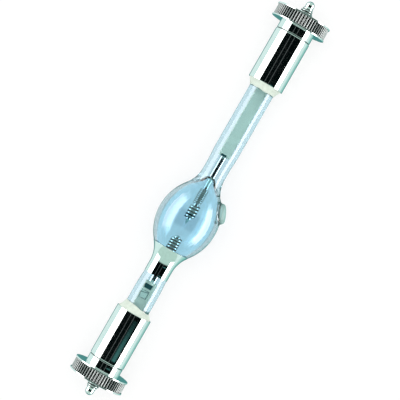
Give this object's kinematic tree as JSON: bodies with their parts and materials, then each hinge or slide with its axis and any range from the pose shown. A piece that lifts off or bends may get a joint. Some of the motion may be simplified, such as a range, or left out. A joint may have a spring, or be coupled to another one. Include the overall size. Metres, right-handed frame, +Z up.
{
  "type": "mercury short-arc lamp",
  "caption": "Lamp with a clear quartz bulb, coiled electrodes and foil seals between plated caps, each with a stud and a knurled thumb nut.",
  "frame": {"origin": "on the surface that the lamp lies on, below the middle of its length", "axes": "+X along the lamp towards the upper cap, level to within the half degree by which the lamp leans; +Y away from the exhaust stub; +Z up"},
  "size_m": [0.1854, 0.0268, 0.0258],
  "materials": {
    "quartz": "clear fused quartz with a pale blue cast, fire polished",
    "mirror": "thin bright reflecting coat",
    "tungsten": "ground and drawn tungsten",
    "molybdenum": "rolled ribbon, pale through the quartz",
    "weld": "dull weld tabs",
    "nickel": "bright nickel plate on turned brass",
    "cement": "matt cream ceramic cement",
    "mercury": "liquid metal"
  },
  "bodies": {
    "lamp": {"quartz_envelope": "quartz", "mirror_coat": "mirror", "upper_electrode_rod": "tungsten", "upper_head_coil": "tungsten", "upper_shank_coil": "tungsten", "lower_electrode_rod": "tungsten", "lower_head_coil": "tungsten", "upper_foil": "molybdenum", "lower_foil": "molybdenum", "upper_lead_rod": "tungsten", "lower_lead_rod": "tungsten", "upper_weld_tab": "weld", "lower_weld_tab": "weld", "lower_patch": "weld", "upper_cap_shell": "nickel", "lower_cap_shell": "nickel", "upper_stud": "nickel", "lower_stud": "nickel", "upper_cement": "cement", "lower_cement": "cement", "mercury_bead": "mercury"},
    "upper_nut": {"upper_thumb_nut": "nickel"},
    "lower_nut": {"lower_thumb_nut": "nickel"}
  },
  "joints": [
    {"name": "upper_nut_slide", "type": "slide", "parent": "lamp", "child": "upper_nut", "axis": [1, 0, -0.0093], "range_m": [0, 0.018]},
    {"name": "lower_nut_slide", "type": "slide", "parent": "lamp", "child": "lower_nut", "axis": [-1, 0, 0.0093], "range_m": [0, 0.018]}
  ]
}
